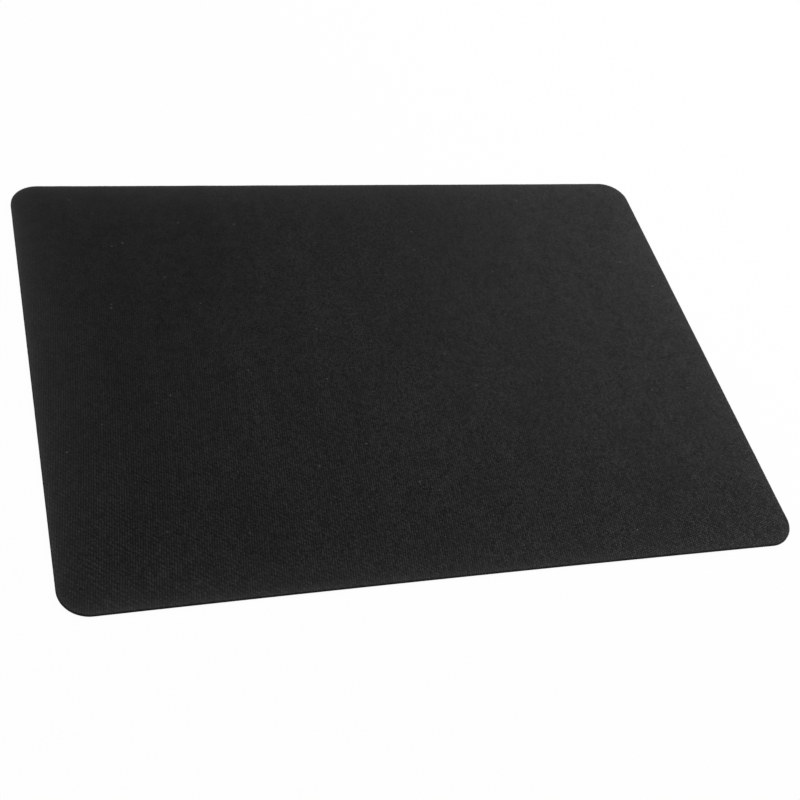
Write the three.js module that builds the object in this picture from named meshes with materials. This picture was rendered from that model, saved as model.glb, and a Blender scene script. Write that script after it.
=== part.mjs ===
// Mouse pad for a desk: a thin sheet with rounded corners, laminated from three layers and then cut out with a steel
// rule die. From the desk upwards the layers are a rubber base, a hot-melt bond and a woven polyester cloth.
// Units are millimetres. +X runs along the long side, +Y points away from the user and +Z points up.
// The origin is the middle of the underside, so the pad lies on Z = 0.

import * as THREE from 'three';

// Outline of the cut sheet
const padWidth = 300;
const padDepth = 220;
const cornerRadius = 12;

// Layers, from the desk upwards
const rubberThickness = 0.9;
const bondThickness = 0.05;
const clothThickness = 0.35;

// Cut edge of the cloth. The blade enters from above and drags the face down, so the rim is rolled over.
const clothRollRun = 0.55;
const clothRollDrop = 0.24;
const clothFootInset = 0.04;

// Cut edge of the bond, which stops short of the blade's line because the hot blade draws the film back
const bondSetback = 0.16;

// Cut edge of the rubber. Squeezed under the blade, it springs back hollow at mid height, with a soft lower arris.
const rubberWallHollow = 0.14;
const rubberShoulderInset = 0.06;
const rubberToeRadius = 0.12;

// Facets: steps in half a corner arc, and in a curve of an edge profile
const cornerSteps = 9;
const rollSteps = 3;
const toeSteps = 2;
const wallSteps = 6;

// Finishes as photographed: all three layers are near black
const clothFinish = { color: '#2b2b2b', roughness: 0.85, metalness: 0 };
const bondFinish = { color: '#171615', roughness: 0.45, metalness: 0 };
const rubberFinish = { color: '#1d1d1d', roughness: 0.75, metalness: 0 };

// The pad's outline drawn in by an inset, with arcs at the corners that keep the same centres
function padOutline(inset) {
  const radius = cornerRadius - inset;
  const centreX = padWidth / 2 - cornerRadius;
  const centreY = padDepth / 2 - cornerRadius;
  const quarter = Math.PI / 2;
  const outline = new THREE.Shape();
  outline.absarc(centreX, -centreY, radius, -quarter, 0);
  outline.absarc(centreX, centreY, radius, 0, quarter);
  outline.absarc(-centreX, centreY, radius, quarter, 2 * quarter);
  outline.absarc(-centreX, -centreY, radius, 2 * quarter, 3 * quarter);
  outline.closePath();
  // The last point repeats the first
  return outline.getPoints(cornerSteps).slice(0, -1);
}

// A layer is lofted through copies of the outline, one for each point of its edge profile. In a profile, x is the
// inset from the cut line and y the height in the layer. It runs from the layer's flat underside to its flat top.
function loftLayer(profile) {
  const rings = profile.map((point) => padOutline(point.x));
  const perRing = rings[0].length;
  const positions = rings.flatMap((ring, level) => ring.flatMap((point) => [point.x, point.y, profile[level].y]));
  const indices = [];
  for (let level = 0; level < rings.length - 1; level += 1) {
    for (let step = 0; step < perRing; step += 1) {
      const next = (step + 1) % perRing;
      const here = level * perRing + step;
      const beside = level * perRing + next;
      indices.push(here, beside, beside + perRing);
      indices.push(here, beside + perRing, here + perRing);
    }
  }
  const top = (rings.length - 1) * perRing;
  for (const [a, b, c] of THREE.ShapeUtils.triangulateShape(rings[0], [])) {
    indices.push(a, c, b);
    indices.push(top + a, top + b, top + c);
  }
  const geometry = new THREE.BufferGeometry();
  geometry.setAttribute('position', new THREE.Float32BufferAttribute(positions, 3));
  geometry.setIndex(indices);
  geometry.computeVertexNormals();
  return geometry;
}

// Joins the curves of a profile, leaving out the point that two neighbours share
function joinProfile(...curves) {
  return curves.flatMap((points, order) => (order === 0 ? points : points.slice(1)));
}

// A quarter of an ellipse in a profile, turned clockwise from one angle to another
function quarterCurve(centreInset, centreHeight, run, rise, from, to, steps) {
  return new THREE.EllipseCurve(centreInset, centreHeight, run, rise, from, to, true).getPoints(steps);
}

// Rubber base: a soft arris at the desk, then a wall that is drawn in at mid height
function rubberBase() {
  const toe = quarterCurve(
    rubberToeRadius, rubberToeRadius, rubberToeRadius, rubberToeRadius, 1.5 * Math.PI, Math.PI, toeSteps,
  );
  const midHeight = (rubberToeRadius + rubberThickness) / 2;
  const wall = new THREE.QuadraticBezierCurve(
    new THREE.Vector2(0, rubberToeRadius),
    // A quadratic curve passes half way to its control point
    new THREE.Vector2(2 * rubberWallHollow - rubberShoulderInset / 2, midHeight),
    new THREE.Vector2(rubberShoulderInset, rubberThickness),
  ).getPoints(wallSteps);
  return loftLayer(joinProfile(toe, wall));
}

// Bond: a plain film with a square edge
function bondFilm() {
  return loftLayer([new THREE.Vector2(bondSetback, 0), new THREE.Vector2(bondSetback, bondThickness)]);
}

// Cloth: a short cut face that leans out from its foot, then the rim that the blade rolled over
function clothFace() {
  const rimHeight = clothThickness - clothRollDrop;
  const cutFace = [new THREE.Vector2(clothFootInset, 0), new THREE.Vector2(0, rimHeight)];
  const roll = quarterCurve(
    clothRollRun, rimHeight, clothRollRun, clothRollDrop, Math.PI, Math.PI / 2, 2 * rollSteps,
  );
  return loftLayer(joinProfile(cutFace, roll));
}

function layer(name, geometry, finish, height) {
  const mesh = new THREE.Mesh(geometry, new THREE.MeshStandardMaterial(finish));
  mesh.name = name;
  mesh.position.z = height;
  return mesh;
}

const mousePad = new THREE.Group();
mousePad.name = 'mouse_pad';
mousePad.add(layer('rubber_base', rubberBase(), rubberFinish, 0));
mousePad.add(layer('bond_film', bondFilm(), bondFinish, rubberThickness));
mousePad.add(layer('cloth_top', clothFace(), clothFinish, rubberThickness + bondThickness));

export default mousePad;
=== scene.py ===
"""A thin black mouse pad on a white ground: woven cloth, hot-melt bond and rubber, cut with one blade."""

from types import SimpleNamespace

import bpy
import numpy as np
from bpy.props import FloatProperty, FloatVectorProperty, IntProperty, PointerProperty
from mathutils import Matrix, Vector


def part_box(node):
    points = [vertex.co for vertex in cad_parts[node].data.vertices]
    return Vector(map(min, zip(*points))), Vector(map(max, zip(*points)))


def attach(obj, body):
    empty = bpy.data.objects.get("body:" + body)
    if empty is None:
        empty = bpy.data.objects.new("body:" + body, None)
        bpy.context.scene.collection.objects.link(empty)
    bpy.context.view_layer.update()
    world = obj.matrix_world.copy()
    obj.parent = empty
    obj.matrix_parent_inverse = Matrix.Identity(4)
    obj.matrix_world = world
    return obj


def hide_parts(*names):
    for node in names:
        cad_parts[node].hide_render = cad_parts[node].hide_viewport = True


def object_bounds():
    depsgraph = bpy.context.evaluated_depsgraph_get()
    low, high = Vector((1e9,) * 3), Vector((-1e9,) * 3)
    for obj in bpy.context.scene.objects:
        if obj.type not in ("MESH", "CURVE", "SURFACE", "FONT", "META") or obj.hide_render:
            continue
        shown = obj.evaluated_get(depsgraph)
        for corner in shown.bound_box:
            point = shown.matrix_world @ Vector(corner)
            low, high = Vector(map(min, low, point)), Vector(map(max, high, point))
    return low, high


bl_info = {
    "name": "Mouse Pad",
    "version": (1, 0, 0),
    "blender": (4, 5, 0),
    "location": "View3D > Sidebar > Mouse Pad",
    "description": "Builds a laminated cloth and rubber mouse pad around its packed frame",
    "category": "Object",
}

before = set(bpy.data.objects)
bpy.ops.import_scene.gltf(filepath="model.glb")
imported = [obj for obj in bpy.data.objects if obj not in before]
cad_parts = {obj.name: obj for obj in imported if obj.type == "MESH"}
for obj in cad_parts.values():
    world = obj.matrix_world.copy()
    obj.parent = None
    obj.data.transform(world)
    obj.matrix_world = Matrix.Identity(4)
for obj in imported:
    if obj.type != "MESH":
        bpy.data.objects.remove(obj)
CAD_LOW, CAD_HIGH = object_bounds()
BODY = "root"
MM = 0.001

# Heights of the layers, and how far the bond stands back from the cut line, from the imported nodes
BASE_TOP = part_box("rubber_base")[1].z
BOND_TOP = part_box("bond_film")[1].z
CLOTH_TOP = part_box("cloth_top")[1].z
BOND_SETBACK = CAD_HIGH.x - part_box("bond_film")[1].x

# Corners in the order of the outline: near left, near right, far right, far left
CORNER_SIDES = np.array([(-1, -1), (1, -1), (1, 1), (-1, 1)])
# Where each side and each arc of the outline starts, and where the last one ends: the corner, and the way
# that the outline faces there, in quarter turns from straight right
CORNER_ORDER = [0, 1, 1, 2, 2, 3, 3, 0, 0]
FACING_ORDER = np.array([-1, -1, 0, 0, 1, 1, 2, 2, 3])
# A sheet that was rolled for sale never lies quite flat: how much of the full lift each corner keeps
CORNER_LIFT_SHARES = np.array([0.3, 0.8, 0.4, 1.0])

# Grid steps along a long side, a short side and a corner, for a face that shows and for one that is hidden
SHOWN_STEPS = (184, 130, 12)
HIDDEN_STEPS = (92, 65, 6)

# The puckers are made of this many waves, between these lengths, and lie longer sideways than front to back
PUCKER_WAVES = 80
PUCKER_LENGTHS = (7 * MM, 18 * MM)
PUCKER_SQUEEZE = (0.7, 1.0)

# The weave's lengthwise columns lean off square, more at the near edge than at the far one, as cloth does
# when it is laid on the rubber by hand
WARP_LEAN = 0.092
WARP_BOW = 0.039
WEFT_LEAN = 0.006
# A 2/1 twill repeats every third yarn. It passes over two and under one.
TWILL_REPEAT = 3.0
# How far a dip runs along its yarn, in yarns, from one side of the yarn to the other
DIP_SLANT = 0.4
# Height of a yarn's round back over its sides, beside a float's level of 1
BACK_RISE = 0.7
# Levels of a yarn in the middle of a dip and away from it, and how far from that middle, in yarns, the level
# starts to turn and has turned. The warp dips, and the weft rises there without reaching the floats.
WARP_DIP = (0.4, 1.0, 0.0, 1.1)
WEFT_RISE = (0.75, 0.3, 0.1, 0.9)
# Means over a warp yarn of its painted shade, 0 in the gap and 1 on the crown, and of its level, lowest in a
# dip
MEAN_SHADE = 0.64
MEAN_LEVEL = 0.78
# Filaments across a warp and a weft yarn, and how often they change for each yarn crossed. Real ones are
# about 0.02 mm thick. These are five times as coarse, so that they show.
FILAMENTS = (9.0, 7.0)
FILAMENT_CHANGE = 0.8

# Broad changes across the face. A slope says how much of a change is sideways and how much is front to back.
# It reads 0 in the middle of the pad and 1 in the corner that it runs to. A reach is where on the slope the
# change starts and where it is complete.
# The press bore hardest towards the far right
PRESS_SLOPE = (0.36, 0.64)
PRESS_REACH = (-0.55, 0.3)
# Painted highlight: towards the near left the weft in the warp's dips is drawn lighter, as the light picks it
# out there. The last of these three is the most shade that a point gains for each 1 that the warp's level
# lies below its mean.
PAINTED_SHINE_SLOPE = (-0.37, -0.63)
PAINTED_SHINE_REACH = (0.28, 0.8)
PAINTED_SHINE = 0.85
# Painted light: towards the near right the ends of the floats are drawn lighter and darker, as a raking light
# shows them, by this much shade at the most
RAKED_ENDS_SLOPE = (0.445, -0.555)
RAKED_ENDS_REACH = (0.36, 0.9)
PAINTED_ENDS_SHADE = 0.78
# The grain is stronger towards the near right: nap stands up where a wrist rubs it, and the glitter of the
# filaments in the gloss there is painted into the grain
RUB_AND_GLINT_SLOPE = (0.6, -0.4)

# Strength of the grain in the middle of the pad, and what its sum starts from. That is a little under 0,
# because the darkest grains are cut off at black, which would leave the cloth paler on the whole.
GRAIN_STRENGTH = 1.1
GRAIN_START = -0.02
# Nearly all of a noise texture lies between these values
NOISE_REACH = (0.3, 0.7)
# Middle of a broad highlight painted on the face, a little left of centre, how far it reaches sideways and
# front to back, and its brightness in the middle and at its rim
LIT_PATCH_CENTRE = (-28 * MM, 20 * MM)
LIT_PATCH_REACH = (78 * MM, 165 * MM)
LIT_PATCH_TONES = (1.2, 1.0)
# Share of the crossings that show a pale speck, made of fluff and broken filaments and of painted glints on
# filaments, and how much of its colour the palest one takes
SPECK_SHARE = 0.0005
SPECK_COVER = 0.16


def linear(hex_colour):
    """An sRGB hex value such as #2b2b2b as linear red, green, blue and alpha."""
    channels = [int(hex_colour[place : place + 2], 16) / 255 for place in (1, 3, 5)]
    return tuple(c / 12.92 if c <= 0.04045 else ((c + 0.055) / 1.055) ** 2.4 for c in channels) + (1.0,)


def length_property(name, description, default, **limits):
    """A length in metres, which Blender shows in the scene's own unit."""
    return FloatProperty(name=name, description=description, default=default, unit="LENGTH", **limits)


def colour_property(name, description, hex_colour):
    """A colour that starts as an sRGB hex value."""
    start = linear(hex_colour)
    return FloatVectorProperty(name=name, description=description, default=start, size=4, subtype="COLOR")


class PadShape(bpy.types.PropertyGroup):
    """Sizes that all the layers share."""

    corner_radius: length_property("Corner radius", "Radius of the four cut corners", 12 * MM, min=2 * MM)
    near_draw: length_property(
        "Near edge draw",
        "How far the middle of the near edge is drawn in, as cut rubber shrinks back",
        0.65 * MM,
    )
    corner_lift: length_property(
        "Corner lift", "How far the corner that curls most stands off the desk", 0.12 * MM, min=0.0
    )
    curl_reach: length_property(
        "Curl reach", "Distance from a corner at which its curl has died out", 60 * MM
    )
    swell: length_property("Swell", "Height of the faint swells that a laid sheet keeps", 0.06 * MM)


class ClothSettings(bpy.types.PropertyGroup):
    """The woven face."""

    warp_pitch: length_property("Warp pitch", "Distance between lengthwise yarns", 0.936 * MM)
    weft_pitch: length_property("Weft pitch", "Distance between crosswise yarns", 0.683 * MM)
    relief: length_property("Relief", "Height of the yarns' crowns over the gaps between them", 0.11 * MM)
    deepest: FloatProperty(
        name="Deepest",
        description="Depth of the weave where the press bore least, as a share of its full depth",
        default=0.9,
    )
    flattest: FloatProperty(
        name="Flattest",
        description="Depth of the weave where the press bore hardest, as a share of its full depth",
        default=0.2,
    )
    roll_run: length_property("Roll run", "Width of the rim that the blade rolled over", 0.55 * MM)
    roll_drop: length_property("Roll drop", "How far the rolled rim falls below the face", 0.24 * MM)
    foot_inset: length_property(
        "Foot inset", "How far the foot of the cut face stands back from the cut line", 0.04 * MM
    )
    yarn_end: length_property(
        "Yarn ends", "How far a cut yarn end stands out beyond the gap beside it", 0.13 * MM
    )
    pucker: length_property(
        "Pucker", "Spread in height of the faint ripples where the bond took unevenly", 0.03 * MM
    )
    # Painted light near the rim: how much brighter it makes the face, and over what distance from the cut it
    # fades, in a wide band and a narrow one
    rim_light: FloatProperty(
        name="Dust",
        description="Brightness that dust and raised nap add near the rim",
        default=0.012,
    )
    rim_light_width: length_property(
        "Dust width", "Distance from the cut over which the wide band of dust fades", 10 * MM
    )
    rim_light_at_cut: FloatProperty(
        name="Dust at the cut",
        description="Brightness that dust and raised nap add at the cut itself",
        default=0.017,
    )
    rim_light_at_cut_width: length_property(
        "Dust at the cut, width",
        "Distance from the cut over which the narrow band of dust fades",
        1.2 * MM,
    )
    # The crowns' colour is the yarns' own. The darker gaps are painted shade, where shade falls between the
    # yarns.
    crown_colour: colour_property("Crowns", "Colour of the yarns where they are pressed flat", "#1e1e1e")
    gap_shade_colour: colour_property("Gaps", "Colour between the yarns", "#030303")
    # Pale specks: fluff and broken filaments, and painted glints on filaments
    speck_colour: colour_property("Lint", "Colour of lint and broken filaments", "#8a8a88")


class RubberSettings(bpy.types.PropertyGroup):
    """The base and the bond over it."""

    wall_hollow: length_property(
        "Wall hollow", "How far the cut wall is drawn in at mid height", 0.14 * MM
    )
    toe_radius: length_property("Toe radius", "Radius of the arris that meets the desk", 0.12 * MM)
    shoulder_inset: length_property(
        "Shoulder inset", "How far the wall's upper edge stands back under the cloth", 0.06 * MM
    )
    chatter: length_property(
        "Chatter", "Size of the marks that the shaking blade left along the wall", 0.012 * MM
    )
    tread_depth: length_property(
        "Tread depth", "Depth of the anti-slip emboss on the underside", 0.09 * MM
    )
    bond_smear: length_property(
        "Bond smear", "How far the bond's edge wanders where the blade smeared it", 0.015 * MM
    )
    rubber_colour: colour_property("Rubber", "Colour of the foamed rubber", "#1e1e1e")
    bond_colour: colour_property("Bond", "Colour of the hot-melt film at the cut edge", "#121110")


class StageSettings(bpy.types.PropertyGroup):
    """The camera's place, as the photograph was taken, and the ground."""

    azimuth: FloatProperty(
        name="Azimuth",
        description="Turn of the view about the upright, from straight ahead",
        default=np.radians(-28.775),
        subtype="ANGLE",
    )
    elevation: FloatProperty(
        name="Elevation",
        description="Height of the view above the desk",
        default=np.radians(47.772),
        subtype="ANGLE",
    )
    roll: FloatProperty(
        name="Roll",
        description="Tilt of the picture about the line of sight",
        default=np.radians(18.816),
        subtype="ANGLE",
    )
    distance: length_property(
        "Distance", "From the camera to the point on the desk that it looks at", 575.2 * MM
    )
    aim: FloatVectorProperty(
        name="Aim",
        description="The point on the desk in the middle of the picture",
        default=(-2.08 * MM, -21.46 * MM, 0.0),
        size=3,
        subtype="TRANSLATION",
        unit="LENGTH",
    )
    lens: FloatProperty(
        name="Lens",
        description="Focal length in millimetres on a 36 mm sensor",
        default=61.91,
    )
    ground_size: length_property("Ground size", "Length of each side of the white ground", 6.0)


class MousePadSettings(bpy.types.PropertyGroup):
    """Everything that a user would change."""

    shape: PointerProperty(type=PadShape)
    cloth: PointerProperty(type=ClothSettings)
    rubber: PointerProperty(type=RubberSettings)
    stage: PointerProperty(type=StageSettings)
    seed: IntProperty(name="Seed", description="Start of every random draw", default=7)


# Shape of the sheet


class Outline:
    """Stations round the pad's outline, anticlockwise from the near left. The outline is a rectangle grown by
    the corner radius, so each station is a point on that inner rectangle and the angle of its normal."""

    def __init__(self, shape, long_steps, short_steps, arc_steps):
        self.radius = shape.corner_radius
        self.long_steps = long_steps
        self.rows = 2 * arc_steps + short_steps + 1
        self.inner = np.array([CAD_HIGH.x, CAD_HIGH.y]) - self.radius
        self.corners = CORNER_SIDES[CORNER_ORDER] * self.inner
        self.angles = FACING_ORDER * np.pi / 2
        steps = [long_steps, arc_steps, short_steps, arc_steps] * 2
        self.marks = np.concatenate([[0], np.cumsum(steps)])

    def count(self, finer):
        """How many stations there are when each step is cut into so many finer ones."""
        return self.marks[-1] * finer

    def stations(self, finer=1):
        """(x, y, angle) of the stations, with each step between them cut into so many finer ones."""
        place = np.arange(self.count(finer)) / finer
        return tuple(np.interp(place, self.marks, known) for known in (*self.corners.T, self.angles))

    def ring(self, inset, finer=1):
        """Points at an inset from the cut line: the inner point plus (radius - inset) times the normal. An
        inset with a row for every ring gives as many rows of points."""
        x, y, angle = self.stations(finer)
        reach = self.radius - inset
        return x + reach * np.cos(angle), y + reach * np.sin(angle)

    def grid(self, inset):
        """Rows and columns that fill the outline. Each row ends on the outline's right-hand stations, and its
        x values are shares of the row's half length."""
        x, y = self.ring(inset)
        right = slice(self.long_steps, self.long_steps + self.rows)
        share = np.linspace(-1, 1, self.long_steps + 1)
        return x[right, None] * share, np.repeat(y[right, None], self.long_steps + 1, axis=1)

    def distance_inside(self, x, y):
        """How far points lie inside the outline: the radius less the distance to the inner rectangle, or for
        a point within that rectangle, plus the distance to its nearest side."""
        beyond = np.abs(np.stack([x, y])) - self.inner[:, None, None]
        outside = np.hypot(*np.clip(beyond, 0, None))
        return self.radius - outside - np.clip(beyond.max(axis=0), None, 0)

    def grid_loop(self):
        """The grid's boundary vertices in the order of the stations."""
        index = np.arange(self.rows * (self.long_steps + 1)).reshape(self.rows, -1)
        return np.concatenate([index[0, :-1], index[:-1, -1], index[-1, :0:-1], index[:0:-1, 0]])


def settle(shape, x, y, z):
    """Moves points of the flat sheet to where they come to rest. The near edge is drawn in by its draw times
    1 - (x / half width)^2, and the sheet behind it by less, as the square of the distance to the far edge.
    Each corner is lifted by its share of the lift times (1 - distance / reach)^2. A sine and a cosine wave
    make two faint swells, which die out towards the rim as 1 - (x / half width)^2 times the same of y."""
    half_x, half_y = CAD_HIGH.x, CAD_HIGH.y
    along_x, along_y = 1 - (x / half_x) ** 2, 1 - (y / half_y) ** 2
    lifted = np.zeros_like(x)
    for side, share in zip(CORNER_SIDES * (half_x, half_y), CORNER_LIFT_SHARES):
        away = np.hypot(x - side[0], y - side[1]) / shape.curl_reach
        lifted += shape.corner_lift * share * np.clip(1 - away, 0, 1) ** 2
    first = np.sin(5 * x / half_x + 2 * y / half_y)
    second = np.cos(4 * y / half_y - 3 * x / half_x)
    lifted += shape.swell * along_x * along_y * (2 + first + second) / 4
    return x, y + shape.near_draw * along_x * ((1 - y / half_y) / 2) ** 2, z + lifted


def yarn_counts(cloth, x, y):
    """(warp, weft) yarn numbers at a point, whole at the gaps between yarns. The warp's is x, less a lean of
    y that eases along the bow, over its pitch. The weft's is y, plus a slight lean of x, over its pitch."""
    drift = WARP_LEAN * y - WARP_BOW * y**2 / (2 * CAD_HIGH.y)
    return (x - drift) / cloth.warp_pitch, (y + WEFT_LEAN * x) / cloth.weft_pitch


def puckers(cloth, seed, x, y):
    """Heights of the ripples where the bond took unevenly: the sum of waves of random length, direction and
    phase, each length * cos(2 pi * (place along its direction) / length + phase), scaled so that their spread
    is the pucker. x and y are squeezed first."""
    random = np.random.default_rng(seed)
    length = random.uniform(*PUCKER_LENGTHS, PUCKER_WAVES)
    turn, phase = random.uniform(0, 2 * np.pi, (2, PUCKER_WAVES))
    squeezed_x, squeezed_y = PUCKER_SQUEEZE[0] * x[..., None], PUCKER_SQUEEZE[1] * y[..., None]
    along = squeezed_x * np.cos(turn) + squeezed_y * np.sin(turn)
    waves = np.cos(2 * np.pi * along / length + phase)
    return cloth.pucker * (waves @ length) / np.sqrt((length**2).sum() / 2)


def wander(seed, count, window, size):
    """Smooth random steps along a cut: size times random numbers, summed over a window of so many stations
    that rises and falls as (1 - cos) / 2."""
    random = np.random.default_rng(seed)
    return size * np.convolve(random.normal(size=count), np.hanning(window), mode="same")


def stitch(fine, coarse):
    """Triangles between a ring and one inside it with fewer points: each fine edge runs to the nearest coarse
    point, and each coarse edge to the fine point half way along it."""
    per = len(fine) // len(coarse)
    nearest = coarse[((np.arange(len(fine)) + per // 2) // per) % len(coarse)]
    fans = np.stack([fine, np.roll(fine, -1), nearest], axis=1)
    middles = fine[np.arange(len(coarse)) * per + per // 2]
    return np.concatenate([fans, np.stack([coarse, middles, np.roll(coarse, -1)], axis=1)])


def closed_layer(name, edge, under, over):
    """A closed mesh. edge is (x, y, z), each with a row for every ring from the underside out, up and in over
    the top. under and over are (outline, x, y, z) of the two grids, and each is stitched to the edge ring
    beside it."""
    rings, fine = edge[0].shape
    band = np.arange(rings * fine).reshape(rings, fine)
    beside = np.roll(band, -1, axis=1)
    quads = [np.stack([band[:-1], beside[:-1], beside[1:], band[1:]], axis=-1).reshape(-1, 4)]
    triangles = []
    points = [np.stack([part.ravel() for part in edge], axis=1)]
    first = rings * fine
    for (outline, *place), ring, order in ((under, band[0], -1), (over, band[-1], 1)):
        index = first + np.arange(place[0].size).reshape(place[0].shape)
        cells = np.stack([index[:-1, :-1], index[:-1, 1:], index[1:, 1:], index[1:, :-1]], axis=-1)
        quads.append(cells.reshape(-1, 4)[:, ::order])
        triangles.append(stitch(ring, first + outline.grid_loop())[:, ::order])
        points.append(np.stack([part.ravel() for part in place], axis=1))
        first += index.size
    return mesh_object(name, np.concatenate(points), np.concatenate(quads), np.concatenate(triangles))


def mesh_object(name, points, quads, triangles):
    """Puts arrays of points and faces into a new object at the origin."""
    mesh = bpy.data.meshes.new(name)
    mesh.vertices.add(len(points))
    mesh.vertices.foreach_set("co", points.astype(np.float32).ravel())
    corners = np.concatenate([quads.ravel(), triangles.ravel()]).astype(np.int32)
    starts = np.concatenate([4 * np.arange(len(quads)), quads.size + 3 * np.arange(len(triangles))])
    mesh.loops.add(len(corners))
    mesh.loops.foreach_set("vertex_index", corners)
    mesh.polygons.add(len(starts))
    mesh.polygons.foreach_set("loop_start", starts.astype(np.int32))
    mesh.update(calc_edges=True)
    mesh.validate()
    mesh.shade_smooth()
    piece = bpy.data.objects.new(name, mesh)
    bpy.context.scene.collection.objects.link(piece)
    return piece


# Materials


def add_node(tree, kind, inputs=None, **settings):
    """Adds a node. inputs gives each socket a value, or another node's output to link from, or a node whose
    first output in use is meant."""
    node = tree.nodes.new(kind)
    for name, value in settings.items():
        setattr(node, name, value)
    for socket, value in (inputs or {}).items():
        if isinstance(value, bpy.types.Node):
            value = next(output for output in value.outputs if output.enabled)
        if isinstance(value, bpy.types.NodeSocket):
            tree.links.new(value, node.inputs[socket])
        else:
            node.inputs[socket].default_value = value
    return node


def new_material(name):
    """An empty material and its node tree."""
    material = bpy.data.materials.new(name)
    material.use_nodes = True
    material.node_tree.nodes.clear()
    return material, material.node_tree


def vary(tree, value, *parts):
    """A value times a part for each pattern. A part runs from low to high as its pattern runs over its reach,
    and stays there beyond it."""
    for pattern, (start, end), low, high in parts:
        span = {"From Min": start, "From Max": end, "To Min": low, "To Max": high}
        part = add_node(tree, "ShaderNodeMapRange", {"Value": pattern, **span})
        value = add_node(tree, "ShaderNodeMath", {0: value, 1: part}, operation="MULTIPLY")
    return value


def yarn_set(tree, own, own_yarn, other, in_dip, away, narrow, wide):
    """One set of yarns, from its own yarn numbers and the other set's. A yarn's back is sin(pi * share across
    it). Its level turns from in_dip to away between narrow and wide, which are distances along it from the
    middle of the nearest dip. Its height is BACK_RISE * back + level."""
    share = add_node(tree, "ShaderNodeMath", {0: own}, operation="FRACT")
    turn = add_node(tree, "ShaderNodeMath", {0: share, 1: np.pi}, operation="MULTIPLY")
    back = add_node(tree, "ShaderNodeMath", {0: turn}, operation="SINE")
    # The dips slant across the yarn, as the yarns beside them pull
    slant = {0: share, 1: DIP_SLANT, 2: own_yarn}
    slanted = add_node(tree, "ShaderNodeMath", slant, operation="MULTIPLY_ADD")
    along = add_node(tree, "ShaderNodeMath", {0: slanted, 1: other}, operation="ADD")
    from_dip = add_node(tree, "ShaderNodeMath", {0: along, 1: (1 + DIP_SLANT) / 2}, operation="SUBTRACT")
    half = TWILL_REPEAT / 2
    wrapped = add_node(tree, "ShaderNodeMath", {0: from_dip, 1: half, 2: -half}, operation="WRAP")
    distance = add_node(tree, "ShaderNodeMath", {0: wrapped}, operation="ABSOLUTE")
    level = add_node(
        tree,
        "ShaderNodeMapRange",
        {"Value": distance, "From Min": narrow, "From Max": wide, "To Min": in_dip, "To Max": away},
        interpolation_type="SMOOTHSTEP",
    )
    height = add_node(tree, "ShaderNodeMath", {0: back, 1: BACK_RISE, 2: level}, operation="MULTIPLY_ADD")
    return SimpleNamespace(back=back, from_dip=from_dip, level=level, height=height)


def twill_weave(tree, cloth, place):
    """Yarn numbers, by the same formula as yarn_counts, and the two sets of yarns woven from them."""
    y = add_node(tree, "ShaderNodeSeparateXYZ", {0: place}).outputs["Y"]
    lean = (1 / cloth.warp_pitch, -WARP_LEAN / cloth.warp_pitch, 0)
    straight = add_node(tree, "ShaderNodeVectorMath", {0: place, 1: lean}, operation="DOT_PRODUCT")
    squared = add_node(tree, "ShaderNodeMath", {0: y, 1: y}, operation="MULTIPLY")
    bow = WARP_BOW / (2 * CAD_HIGH.y * cloth.warp_pitch)
    warp = add_node(tree, "ShaderNodeMath", {0: squared, 1: bow, 2: straight}, operation="MULTIPLY_ADD")
    across = (WEFT_LEAN / cloth.weft_pitch, 1 / cloth.weft_pitch, 0)
    weft = add_node(tree, "ShaderNodeVectorMath", {0: place, 1: across}, operation="DOT_PRODUCT")
    warp_yarn = add_node(tree, "ShaderNodeMath", {0: warp}, operation="FLOOR")
    weft_yarn = add_node(tree, "ShaderNodeMath", {0: weft}, operation="FLOOR")

    warp_set = yarn_set(tree, warp, warp_yarn, weft, *WARP_DIP)
    weft_set = yarn_set(tree, weft, weft_yarn, warp, *WEFT_RISE)
    heights = {0: warp_set.height, 1: weft_set.height}
    in_repeats = {0: warp_set.from_dip, 1: TWILL_REPEAT}
    float_count = add_node(tree, "ShaderNodeMath", in_repeats, operation="DIVIDE")
    return SimpleNamespace(
        counts=add_node(tree, "ShaderNodeCombineXYZ", {0: warp, 1: weft, 2: 0.0}),
        warp_yarn=warp_yarn,
        weft_yarn=weft_yarn,
        float_number=add_node(tree, "ShaderNodeMath", {0: float_count}, operation="FLOOR"),
        back=warp_set.back,
        level=warp_set.level,
        surface=add_node(tree, "ShaderNodeMath", heights, operation="MAXIMUM"),
        warp_on_top=add_node(tree, "ShaderNodeMath", heights, operation="GREATER_THAN"),
    )


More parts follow.
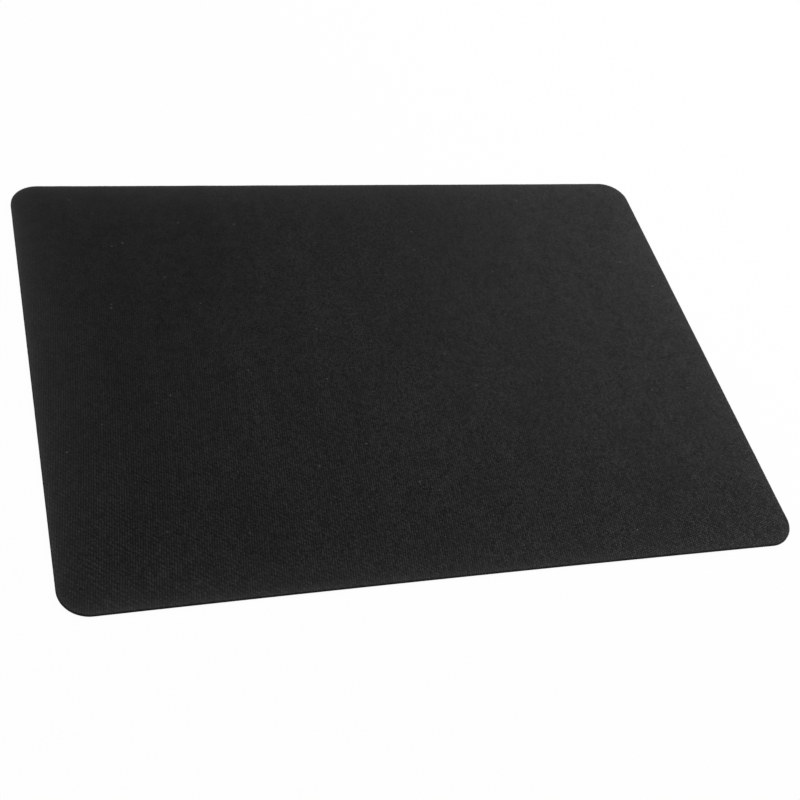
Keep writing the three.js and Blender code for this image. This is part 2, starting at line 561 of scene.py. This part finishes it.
def twill_patterns(tree, weave, place):
    """Random patterns of the cloth, each between 0 and 1."""
    # Every float takes the dye and the press a little differently, and so does every crossing
    float_place, crossing_place = (
        add_node(tree, "ShaderNodeCombineXYZ", {0: weave.warp_yarn, 1: number, 2: 0.0})
        for number in (weave.float_number, weave.weft_yarn)
    )
    float_tone, crossing = (
        add_node(tree, "ShaderNodeTexWhiteNoise", {"Vector": where}, noise_dimensions="2D")
        for where in (float_place, crossing_place)
    )

    # Filaments run along the yarn on top
    along_warp, along_weft = (
        add_node(tree, "ShaderNodeVectorMath", {0: weave.counts, 1: scale}, operation="MULTIPLY")
        for scale in ((FILAMENTS[0], FILAMENT_CHANGE, 1.0), (FILAMENT_CHANGE, FILAMENTS[1], 1.0))
    )
    filament_place = add_node(
        tree, "ShaderNodeMix", {0: weave.warp_on_top, 4: along_weft, 5: along_warp}, data_type="VECTOR"
    )
    filament = add_node(
        tree,
        "ShaderNodeTexNoise",
        {"Vector": filament_place, "Scale": 1.0, "Detail": 2.0, "Roughness": 0.6},
        noise_dimensions="2D",
    )

    streak_place = add_node(tree, "ShaderNodeMapping", {"Vector": place, "Scale": (1.0, 0.35, 1.0)})
    nap, streaks, patches = (
        add_node(
            tree,
            "ShaderNodeTexNoise",
            {"Vector": where, "Scale": 1 / size, "Detail": detail, "Roughness": roughness},
        )
        for where, size, detail, roughness in (
            # Loose hairs and the press's uneven grip, about 0.4 mm across
            (place, 0.4 * MM, 1.0, 0.6),
            # Streaks where the warp took the dye unevenly, 10 to 30 mm across and nearly three times as long
            (streak_place, 27.78 * MM, 4.0, 0.65),
            # Patches 2 to 5 mm across where the press's heat set the yarns differently, in tone and gloss
            (place, 4.5 * MM, 1.0, 0.5),
        )
    )
    return SimpleNamespace(
        float_tone=float_tone, crossing=crossing, filament=filament, nap=nap, streaks=streaks, patches=patches
    )


def face_slopes(tree, place):
    """How far a point lies along each slope: sideways * x / half width + front to back * y / half depth."""
    slopes = []
    for sideways, forward in (PRESS_SLOPE, PAINTED_SHINE_SLOPE, RAKED_ENDS_SLOPE, RUB_AND_GLINT_SLOPE):
        axis = (sideways / CAD_HIGH.x, forward / CAD_HIGH.y, 0)
        slopes.append(add_node(tree, "ShaderNodeVectorMath", {0: place, 1: axis}, operation="DOT_PRODUCT"))
    pressed, along_painted_shine, along_raked_ends, rubbed_and_glinting = slopes
    return SimpleNamespace(pressed=pressed, along_painted_shine=along_painted_shine, along_raked_ends=along_raked_ends, rubbed_and_glinting=rubbed_and_glinting)


def twill_painted_shades(tree, cloth, weave, slopes, depth):
    """Colour of the yarns, from the gaps' to the crowns', with shade painted in. The shade that sets it is
    the warp's round back, painted darkest in the gaps between the yarns where shade falls, plus painted
    highlights and ribs. Where the press flattened the weave it is drawn towards its mean: mean + depth *
    (shade - mean)."""
    # The weft shows in the warp's dips. Towards the near left a highlight is painted on it there, where the
    # light picks it out, so that the twill's slanting ribs show as well as its columns.
    start, end = PAINTED_SHINE_REACH
    span = {"From Min": start, "From Max": end, "To Min": 0.0, "To Max": -PAINTED_SHINE}
    painted_shine = add_node(tree, "ShaderNodeMapRange", {"Value": slopes.along_painted_shine, **span})
    lower = add_node(tree, "ShaderNodeMath", {0: weave.level, 1: MEAN_LEVEL}, operation="SUBTRACT")
    shade = add_node(tree, "ShaderNodeMath", {0: lower, 1: painted_shine, 2: weave.back}, operation="MULTIPLY_ADD")
    # Towards the near right the ends of the floats are painted as a raking light shows them, in steeper ribs
    # that
    # slant the other way: cos(2 pi * (warp number - 2 * weft number) / repeat)
    start, end = RAKED_ENDS_REACH
    span = {"From Min": start, "From Max": end, "To Min": 0.0, "To Max": PAINTED_ENDS_SHADE}
    strength = add_node(
        tree, "ShaderNodeMapRange", {"Value": slopes.along_raked_ends, **span}, interpolation_type="SMOOTHSTEP"
    )
    steep = (2 * np.pi / TWILL_REPEAT, -4 * np.pi / TWILL_REPEAT, 0)
    phase = add_node(tree, "ShaderNodeVectorMath", {0: weave.counts, 1: steep}, operation="DOT_PRODUCT")
    ribs = add_node(tree, "ShaderNodeMath", {0: phase}, operation="COSINE")
    shade = add_node(tree, "ShaderNodeMath", {0: ribs, 1: strength, 2: shade}, operation="MULTIPLY_ADD")
    from_mean = add_node(tree, "ShaderNodeMath", {0: shade, 1: MEAN_SHADE}, operation="SUBTRACT")
    pressed = {0: from_mean, 1: depth, 2: MEAN_SHADE}
    shade = add_node(tree, "ShaderNodeMath", pressed, operation="MULTIPLY_ADD")
    above_gap = add_node(tree, "ShaderNodeMath", {0: shade, 1: 0.0}, operation="MAXIMUM")
    # The colour runs from the painted shade of the gaps to the crowns' own colour
    return add_node(
        tree,
        "ShaderNodeMix",
        {0: above_gap, 6: cloth.gap_shade_colour, 7: cloth.crown_colour},
        data_type="RGBA",
        clamp_factor=False,
    )


def twill_tones(tree, place, patterns, rubbed_and_glinting):
    """How bright each point is beside its yarn's own colour: 1 + strength * e^(place on the grain's slope)
    * grain, but never below 0, times the dye's streaks, the press's patches and a broad painted highlight in
    the middle."""
    grain = GRAIN_START
    for pattern, start, end, swing in (
        (patterns.filament, *NOISE_REACH, 0.32),
        (patterns.float_tone, 0.0, 1.0, 0.22),
        (patterns.crossing, 0.0, 1.0, 0.45),
        (patterns.nap, 0.35, 0.65, 0.75),
    ):
        span = {"From Min": start, "From Max": end, "To Min": -swing, "To Max": swing}
        part = add_node(tree, "ShaderNodeMapRange", {"Value": pattern, **span})
        grain = add_node(tree, "ShaderNodeMath", {0: grain, 1: part}, operation="ADD")
    # The grain is stronger towards the near right, where a wrist rubs the nap up, and where the glitter of
    # the filaments in the gloss is painted into it
    growth = add_node(tree, "ShaderNodeMath", {0: rubbed_and_glinting}, operation="EXPONENT")
    strength = add_node(tree, "ShaderNodeMath", {0: growth, 1: GRAIN_STRENGTH}, operation="MULTIPLY")
    grained = add_node(tree, "ShaderNodeMath", {0: grain, 1: strength, 2: 1.0}, operation="MULTIPLY_ADD")
    tones = add_node(tree, "ShaderNodeMath", {0: grained, 1: 0.0}, operation="MAXIMUM")
    streaks = (patterns.streaks, NOISE_REACH, 0.79, 1.21)
    patches = (patterns.patches, NOISE_REACH, 0.86, 1.14)
    tones = vary(tree, tones, streaks, patches)

    # A broad highlight is painted over the middle, a little left of centre, which draws the yarns paler there
    scale = (1 / LIT_PATCH_REACH[0], 1 / LIT_PATCH_REACH[1], 0.0)
    start = (-LIT_PATCH_CENTRE[0] / LIT_PATCH_REACH[0], -LIT_PATCH_CENTRE[1] / LIT_PATCH_REACH[1], 0.0)
    lit_patch_place = add_node(tree, "ShaderNodeMapping", {"Vector": place, "Scale": scale, "Location": start})
    from_middle = add_node(tree, "ShaderNodeVectorMath", {0: lit_patch_place}, operation="LENGTH")
    in_middle, at_rim = LIT_PATCH_TONES
    lit_patch = add_node(
        tree,
        "ShaderNodeMapRange",
        {"Value": from_middle, "To Min": in_middle, "To Max": at_rim},
        interpolation_type="SMOOTHSTEP",
    )
    return add_node(tree, "ShaderNodeMath", {0: tones, 1: lit_patch}, operation="MULTIPLY")


def twill_rim_light(tree, cloth, rubbed_and_glinting):
    """Painted light near the rim, which draws the face paler there, as glare off the white ground and light
    caught
    by the rolled rim would: a wide faint band and a narrow one by the cut, the sum of two falls, each its
    strength times e^(-distance / width)."""
    from_cut = add_node(tree, "ShaderNodeAttribute", attribute_name="from_cut").outputs["Fac"]
    bands = ((cloth.rim_light, cloth.rim_light_width), (cloth.rim_light_at_cut, cloth.rim_light_at_cut_width))
    rim_light = 0.0
    for strength, width in bands:
        away = add_node(tree, "ShaderNodeMath", {0: from_cut, 1: -1 / width}, operation="MULTIPLY")
        fall = add_node(tree, "ShaderNodeMath", {0: away}, operation="EXPONENT")
        rim_light = add_node(tree, "ShaderNodeMath", {0: fall, 1: strength, 2: rim_light}, operation="MULTIPLY_ADD")
    # The painted light near the rim is weaker towards the near right, and is left off what does not face up
    normal = add_node(tree, "ShaderNodeNewGeometry").outputs["Normal"]
    upward = add_node(tree, "ShaderNodeSeparateXYZ", {0: normal}).outputs["Z"]
    return vary(tree, rim_light, (rubbed_and_glinting, (-1.0, 1.0), 1.35, 0.65), (upward, (0.4, 1.0), 0.0, 1.0))


def twill_material(cloth):
    """Heat-pressed polyester twill, dyed black in the piece. Round filament yarns give a fine grain of soft
    highlights over dark gaps, painted into the colour as well as made by the bump, and the press leaves a
    low, even sheen."""
    material, tree = new_material("heat_pressed_polyester_twill")
    place = add_node(tree, "ShaderNodeTexCoord").outputs["Object"]
    weave = twill_weave(tree, cloth, place)
    patterns = twill_patterns(tree, weave, place)
    slopes = face_slopes(tree, place)

    # The press bore harder towards the far right, so the weave is flatter there and its shades are closer
    start, end = PRESS_REACH
    span = {"From Min": start, "From Max": end, "To Min": cloth.deepest, "To Max": cloth.flattest}
    depth = add_node(
        tree, "ShaderNodeMapRange", {"Value": slopes.pressed, **span}, interpolation_type="SMOOTHSTEP"
    )
    body = twill_painted_shades(tree, cloth, weave, slopes, depth)
    tones = twill_tones(tree, place, patterns, slopes.rubbed_and_glinting)
    rim_light = twill_rim_light(tree, cloth, slopes.rubbed_and_glinting)
    toned = add_node(tree, "ShaderNodeVectorMath", {0: body, "Scale": tones}, operation="SCALE")
    # Painted light near the rim is added to the colour
    rim_lit = add_node(tree, "ShaderNodeVectorMath", {0: toned, 1: rim_light}, operation="ADD")

    # About one crossing in two thousand is made pale, as fluff and broken filaments and as painted glints on
    # filaments
    span = {"From Min": 1 - SPECK_SHARE, "From Max": 1.0, "To Min": 0.0, "To Max": SPECK_COVER}
    specks = add_node(tree, "ShaderNodeMapRange", {"Value": patterns.crossing, **span})
    colour = add_node(tree, "ShaderNodeMix", {0: specks, 6: rim_lit, 7: cloth.speck_colour}, data_type="RGBA")

    # The relief that the light plays on: yarn backs, floats of uneven height, nap and filaments
    relief = weave.surface
    for pattern, height in ((patterns.float_tone, 0.5), (patterns.nap, 0.6), (patterns.filament, 0.3)):
        raised = {0: pattern, 1: height, 2: relief}
        relief = add_node(tree, "ShaderNodeMath", raised, operation="MULTIPLY_ADD")
    # Pressing takes the relief away sooner than the shades, so it goes as the square of the depth
    proud = add_node(tree, "ShaderNodeMath", {0: depth, 1: depth}, operation="MULTIPLY")
    bump = add_node(tree, "ShaderNodeBump", {"Height": relief, "Strength": proud, "Distance": cloth.relief})
    start, end = NOISE_REACH
    span = {"From Min": start, "From Max": end, "To Min": 0.38, "To Max": 0.5}
    roughness = add_node(tree, "ShaderNodeMapRange", {"Value": patterns.patches, **span})
    shader = add_node(
        tree,
        "ShaderNodeBsdfPrincipled",
        {
            "Base Color": colour,
            "Roughness": roughness,
            "IOR": 1.5,
            "Specular IOR Level": 0.045,
            "Normal": bump,
        },
    )
    add_node(tree, "ShaderNodeOutputMaterial", {"Surface": shader})
    return material


def rubber_material(rubber):
    """Foamed rubber, cut and embossed. Matt and slightly chalky, with pores where the blade opened the foam's
    cells."""
    material, tree = new_material("foamed_rubber_cut_and_embossed")
    place = add_node(tree, "ShaderNodeTexCoord").outputs["Object"]
    # Foam cells are 0.16 mm across
    pores = add_node(tree, "ShaderNodeTexVoronoi", {"Vector": place, "Scale": 1 / (0.16 * MM)})
    # The blade drags the wall downwards, so its marks are five times as tall as wide
    drag_place = add_node(tree, "ShaderNodeMapping", {"Vector": place, "Scale": (1.0, 1.0, 0.2)})
    # Drag marks 0.5 mm apart, and a chalky bloom in patches about 11 mm across
    drag, bloom = (
        add_node(
            tree,
            "ShaderNodeTexNoise",
            {"Vector": where, "Scale": 1 / size, "Detail": detail, "Roughness": 0.6},
        )
        for where, size, detail in ((drag_place, 0.5 * MM, 3.0), (place, 11.11 * MM, 4.0))
    )
    # Painted shade: each pore is drawn darker towards its middle, where the bump makes it lowest
    tone = vary(
        tree,
        1.0,
        (pores, (0.1, 0.7), 0.7, 1.15),
        (drag, NOISE_REACH, 0.75, 1.25),
        (bloom, NOISE_REACH, 0.8, 1.2),
    )
    body = rubber.rubber_colour[:3]
    colour = add_node(tree, "ShaderNodeVectorMath", {0: body, "Scale": tone}, operation="SCALE")
    relief = add_node(tree, "ShaderNodeMath", {0: drag, 1: 1.5, 2: pores}, operation="MULTIPLY_ADD")
    bump = add_node(tree, "ShaderNodeBump", {"Height": relief, "Strength": 0.7, "Distance": 0.04 * MM})
    roughness = add_node(tree, "ShaderNodeMapRange", {"Value": bloom, "To Min": 0.8, "To Max": 0.95})
    shader = add_node(
        tree,
        "ShaderNodeBsdfPrincipled",
        {
            "Base Color": colour,
            "Roughness": roughness,
            "IOR": 1.52,
            "Specular IOR Level": 0.15,
            "Normal": bump,
        },
    )
    add_node(tree, "ShaderNodeOutputMaterial", {"Surface": shader})
    return material


def bond_material(rubber):
    """Hot-melt copolyester film. The blade left its edge smooth and a little glossy, in short smears."""
    material, tree = new_material("hot_melt_film_cut")
    place = add_node(tree, "ShaderNodeTexCoord").outputs["Object"]
    # Smears about 1.2 mm long
    smears = add_node(tree, "ShaderNodeTexNoise", {"Vector": place, "Scale": 1 / (1.2 * MM), "Detail": 2.0})
    tone = vary(tree, 1.0, (smears, NOISE_REACH, 0.7, 1.3))
    body = rubber.bond_colour[:3]
    colour = add_node(tree, "ShaderNodeVectorMath", {0: body, "Scale": tone}, operation="SCALE")
    bump = add_node(tree, "ShaderNodeBump", {"Height": smears, "Strength": 0.4, "Distance": 0.02 * MM})
    roughness = add_node(tree, "ShaderNodeMapRange", {"Value": smears, "To Min": 0.3, "To Max": 0.55})
    shader = add_node(
        tree,
        "ShaderNodeBsdfPrincipled",
        {"Base Color": colour, "Roughness": roughness, "IOR": 1.5, "Normal": bump},
    )
    add_node(tree, "ShaderNodeOutputMaterial", {"Surface": shader})
    return material


# Pieces


class MOUSEPAD_OT_rubber_base(bpy.types.Operator):
    """Builds the rubber base, with its cut wall and the emboss underneath"""

    bl_idname = "mouse_pad.rubber_base"
    bl_label = "Rubber Base"

    def execute(self, context):
        pad = context.scene.mouse_pad
        shape, rubber = pad.shape, pad.rubber
        # The tread is a knurl, so its vertices are its peaks and valleys: every other one touches the desk
        tread = Outline(shape, *SHOWN_STEPS)
        hidden = Outline(shape, *HIDDEN_STEPS)
        finer = 4

        # The edge profile is a toe arc, then a wall drawn in by a parabola: hollow * 4 t (1 - t), leaning in
        # by the shoulder inset as t runs from the toe to the top. It starts on a flat foot under the toe, and
        # ends on a narrow ledge under the bond.
        radius = rubber.toe_radius
        toe = np.linspace(0, 1, 4) * np.pi / 2
        rise = np.linspace(0, 1, 9)[1:]
        wall = rubber.wall_hollow * 4 * rise * (1 - rise) + rubber.shoulder_inset * rise
        inset = np.concatenate([[2 * radius], radius * (1 - np.sin(toe)), wall, [wall[-1] + radius]])
        wall_height = radius + (BASE_TOP - radius) * rise
        height = np.concatenate([[0.0], radius * (1 - np.cos(toe)), wall_height, [BASE_TOP]])

        # The blade's chatter: smooth random steps along the wall, strongest at mid height
        chatter = wander(pad.seed, tread.count(finer), 9, rubber.chatter)
        middle = np.clip(4 * (height / BASE_TOP) * (1 - height / BASE_TOP), 0, 1)
        insets = inset[:, None] + middle[:, None] * chatter
        edge = settle(shape, *tread.ring(insets, finer), height[:, None])

        # The grids start a little inside the foot and the ledge
        under_x, under_y = tread.grid(3 * radius)
        row, column = np.indices(under_x.shape)
        under = settle(shape, under_x, under_y, rubber.tread_depth * ((row + column) % 2))
        over = settle(shape, *hidden.grid(4 * radius), BASE_TOP)
        piece = closed_layer("rubber_sheet", edge, (tread, *under), (hidden, *over))
        piece.data.set_sharp_from_angle(angle=np.radians(50))
        piece.data.materials.append(rubber_material(rubber))
        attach(piece, BODY)
        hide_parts("rubber_base")
        return {"FINISHED"}


class MOUSEPAD_OT_bond_film(bpy.types.Operator):
    """Builds the bond, which shows as a hairline between the rubber and the cloth"""

    bl_idname = "mouse_pad.bond_film"
    bl_label = "Bond Film"

    def execute(self, context):
        pad = context.scene.mouse_pad
        shape, rubber = pad.shape, pad.rubber
        hidden = Outline(shape, *HIDDEN_STEPS)
        finer = 4

        # The film's edge bulges as an arc, by 0.3 of its thickness, and wanders where the blade smeared it
        thickness = BOND_TOP - BASE_TOP
        bulge = 0.3 * thickness
        turn = np.linspace(0, np.pi, 5)[:, None]
        smear = wander(pad.seed + 1, hidden.count(finer), 7, rubber.bond_smear)
        insets = BOND_SETBACK - bulge * np.sin(turn) + smear
        level = BASE_TOP + thickness * (1 - np.cos(turn)) / 2
        edge = settle(shape, *hidden.ring(insets, finer), level)
        grid = hidden.grid(3 * BOND_SETBACK)
        under, over = (settle(shape, *grid, top) for top in (BASE_TOP, BOND_TOP))
        piece = closed_layer("bond_line", edge, (hidden, *under), (hidden, *over))
        piece.data.materials.append(bond_material(rubber))
        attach(piece, BODY)
        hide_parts("bond_film")
        return {"FINISHED"}


class MOUSEPAD_OT_cloth_top(bpy.types.Operator):
    """Builds the woven cloth, with its rolled rim and cut yarn ends"""

    bl_idname = "mouse_pad.cloth_top"
    bl_label = "Cloth Top"

    def execute(self, context):
        pad = context.scene.mouse_pad
        shape, cloth = pad.shape, pad.cloth
        face = Outline(shape, *SHOWN_STEPS)
        hidden = Outline(shape, *HIDDEN_STEPS)
        finer = 8
        thickness = CLOTH_TOP - BOND_TOP
        cut_face = thickness - cloth.roll_drop
        # Insets of the foot's inner ring, of the face's grid within the roll, and of the grid underneath
        foot_inner = 0.5 * MM
        face_inner = cloth.roll_run + 0.5 * MM
        under_inner = 1.2 * MM

        # The edge profile: a short flat foot, the cut face, then a quarter of an ellipse in over the rim
        turn = np.linspace(0, 1, 8) * np.pi / 2
        inset = np.concatenate([[foot_inner, cloth.foot_inset, 0.0], cloth.roll_run * (1 - np.cos(turn))])
        height = np.concatenate([[0, 0, cut_face / 2], thickness - cloth.roll_drop * (1 - np.sin(turn))])

        # Yarns end on every side: warp ends along the near and far edges, weft ends at the left and right.
        # Each end stands out as sin(pi * share across its yarn), and ends differ in length.
        angle = face.stations(finer)[2]
        sides = (np.sin(angle) ** 2, np.cos(angle) ** 2)
        ends = np.zeros_like(angle)
        random = np.random.default_rng(pad.seed + 2)
        for counts, facing in zip(yarn_counts(cloth, *face.ring(0, finer)), sides):
            yarn = np.floor(counts).astype(int)
            length = random.uniform(0.4, 1.0, size=np.ptp(yarn) + 1)[yarn - yarn.min()]
            ends += facing * length * np.sin(np.pi * (counts - yarn))
        # The ends show in full on the cut face and fade out over the roll
        cut = np.clip(1 - inset / cloth.roll_run, 0, 1)[:, None]
        cut[0] = 0
        insets = inset[:, None] + cut * cloth.yarn_end * (1 - ends)
        level = BOND_TOP + height[:, None] + np.zeros_like(insets)
        # Over the roll each end is also a low ridge, a quarter as high as the end is long
        over_roll = np.sin(np.linspace(0, np.pi, len(turn)))[:, None]
        level[-len(turn) :] += over_roll * 0.25 * cloth.yarn_end * (ends - 0.5)
        # The puckers take in the whole thickness, so they run out over the rim and end at the foot
        rings = face.ring(insets, finer)
        level += height[:, None] / thickness * puckers(cloth, pad.seed + 3, *rings)
        edge = settle(shape, *rings, level)
        under = settle(shape, *hidden.grid(under_inner), BOND_TOP)
        face_grid = face.grid(face_inner)
        over = settle(shape, *face_grid, CLOTH_TOP + puckers(cloth, pad.seed + 3, *face_grid))
        piece = closed_layer("cloth_face", edge, (hidden, *under), (face, *over))

        # Distance from the cut, for the paler rim
        under_insets = np.full(under[0].size, under_inner)
        face_insets = face.distance_inside(*face_grid)
        from_cut = np.concatenate([insets.ravel(), under_insets, face_insets.ravel()])
        rim = piece.data.attributes.new("from_cut", "FLOAT", "POINT")
        rim.data.foreach_set("value", from_cut.astype(np.float32))
        piece.data.set_sharp_from_angle(angle=np.radians(60))
        piece.data.materials.append(twill_material(cloth))
        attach(piece, BODY)
        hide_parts("cloth_top")
        return {"FINISHED"}


# Stage

WHITE = (1.0, 1.0, 1.0, 1.0)
PAPER = (0.9, 0.9, 0.9, 1.0)
# How much of what the camera sees of the ground is light of its own, which leaves the rest for a faint shadow
GLOW_SHARE = 0.96
# Strength of the even fill
FILL = 0.4
# Softboxes: name, place in metres, width and height in metres, power in watts
LIGHTS = (
    ("right_softbox", (0.729, 0.414, 0.632), (1.0, 0.45), 5.5),
    ("overhead_softbox", (0.0, 0.0, 1.3), (1.0, 1.0), 3.35),
)


def add_seen(tree):
    """1 for what the camera sees, straight on or in a mirror or a glass, and 0 for all other light."""
    rays = add_node(tree, "ShaderNodeLightPath")
    seen = rays.outputs["Is Camera Ray"]
    for kind in ("Is Glossy Ray", "Is Transmission Ray"):
        seen = add_node(tree, "ShaderNodeMath", {0: seen, 1: rays.outputs[kind]}, operation="MAXIMUM")
    return seen


class MOUSEPAD_OT_stage(bpy.types.Operator):
    """Lays the white ground and sets the lights, the world and the camera"""

    bl_idname = "mouse_pad.stage"
    bl_label = "Stage"

    def execute(self, context):
        scene = context.scene
        self.add_floor(scene)
        self.add_world(scene)
        self.add_lights(scene)
        self.add_camera(scene)
        scene.view_settings.view_transform = "Standard"
        return {"FINISHED"}

    def add_floor(self, scene):
        """A white ground that keeps a faint shadow. What the camera sees is partly light of its own."""
        material, tree = new_material("white_ground")
        paper = add_node(tree, "ShaderNodeBsdfDiffuse", {"Color": PAPER})
        glow = add_node(tree, "ShaderNodeEmission", {"Color": WHITE, "Strength": 1.0})
        share = add_node(tree, "ShaderNodeMath", {0: add_seen(tree), 1: GLOW_SHARE}, operation="MULTIPLY")
        both = add_node(tree, "ShaderNodeMixShader", {0: share, 1: paper, 2: glow})
        add_node(tree, "ShaderNodeOutputMaterial", {"Surface": both})
        half = scene.mouse_pad.stage.ground_size / 2
        corners = np.column_stack([CORNER_SIDES * half, np.zeros(4)])
        floor = mesh_object("ground", corners, np.array([[0, 1, 2, 3]]), np.zeros((0, 3), int))
        floor.data.materials.append(material)

    def add_world(self, scene):
        """White to the camera and in reflections, and an even grey fill for everything else."""
        world = bpy.data.worlds.new("studio")
        world.use_nodes = True
        tree = world.node_tree
        tree.nodes.clear()
        fill = add_node(tree, "ShaderNodeBackground", {"Color": WHITE, "Strength": FILL})
        white = add_node(tree, "ShaderNodeBackground", {"Color": WHITE, "Strength": 1.0})
        both = add_node(tree, "ShaderNodeMixShader", {0: add_seen(tree), 1: fill, 2: white})
        add_node(tree, "ShaderNodeOutputWorld", {"Surface": both})
        scene.world = world

    def add_lights(self, scene):
        """The softboxes, each turned to face the middle of the pad."""
        for name, place, (width, height), power in LIGHTS:
            light = bpy.data.lights.new(name, "AREA")
            light.shape = "RECTANGLE"
            light.size, light.size_y = width, height
            light.energy = power
            lamp = bpy.data.objects.new(name, light)
            lamp.location = place
            lamp.rotation_euler = (-Vector(place)).to_track_quat("-Z", "Y").to_euler()
            scene.collection.objects.link(lamp)

    def add_camera(self, scene):
        """The camera stands back from the aim by the distance, looks at the aim, and is then rolled."""
        stage = scene.mouse_pad.stage
        turn, rise = stage.azimuth, stage.elevation
        back = Vector((np.sin(turn) * np.cos(rise), -np.cos(turn) * np.cos(rise), np.sin(rise)))
        level = (-back).to_track_quat("-Z", "Y").to_matrix().to_4x4()
        data = bpy.data.cameras.new("photo_camera")
        data.sensor_width = 36.0
        data.lens = stage.lens
        data.clip_start, data.clip_end = 0.01, 20.0
        camera = bpy.data.objects.new("photo_camera", data)
        place = Matrix.Translation(Vector(stage.aim) + back * stage.distance)
        camera.matrix_world = place @ level @ Matrix.Rotation(stage.roll, 4, "Z")
        scene.collection.objects.link(camera)
        scene.camera = camera


class MOUSEPAD_PT_sidebar(bpy.types.Panel):
    """Lists the pieces and their sizes"""

    bl_label = "Mouse Pad"
    bl_idname = "MOUSEPAD_PT_sidebar"
    bl_space_type = "VIEW_3D"
    bl_region_type = "UI"
    bl_category = "Mouse Pad"

    def draw(self, context):
        pad = context.scene.mouse_pad
        for group in (pad.shape, pad.cloth, pad.rubber, pad.stage):
            box = self.layout.box()
            for name in group.__annotations__:
                box.prop(group, name)
        self.layout.prop(pad, "seed")
        for operator in OPERATORS:
            self.layout.operator(operator.bl_idname)


OPERATORS = (MOUSEPAD_OT_stage, MOUSEPAD_OT_rubber_base, MOUSEPAD_OT_bond_film, MOUSEPAD_OT_cloth_top)
CLASSES = (
    PadShape,
    ClothSettings,
    RubberSettings,
    StageSettings,
    MousePadSettings,
    *OPERATORS,
    MOUSEPAD_PT_sidebar,
)


def register():
    for item in CLASSES:
        bpy.utils.register_class(item)
    bpy.types.Scene.mouse_pad = PointerProperty(type=MousePadSettings)


def unregister():
    del bpy.types.Scene.mouse_pad
    for item in reversed(CLASSES):
        bpy.utils.unregister_class(item)


def main():
    """Builds everything."""
    register()
    bpy.ops.mouse_pad.stage()
    bpy.ops.mouse_pad.rubber_base()
    bpy.ops.mouse_pad.bond_film()
    bpy.ops.mouse_pad.cloth_top()


if __name__ == "__main__":
    main()
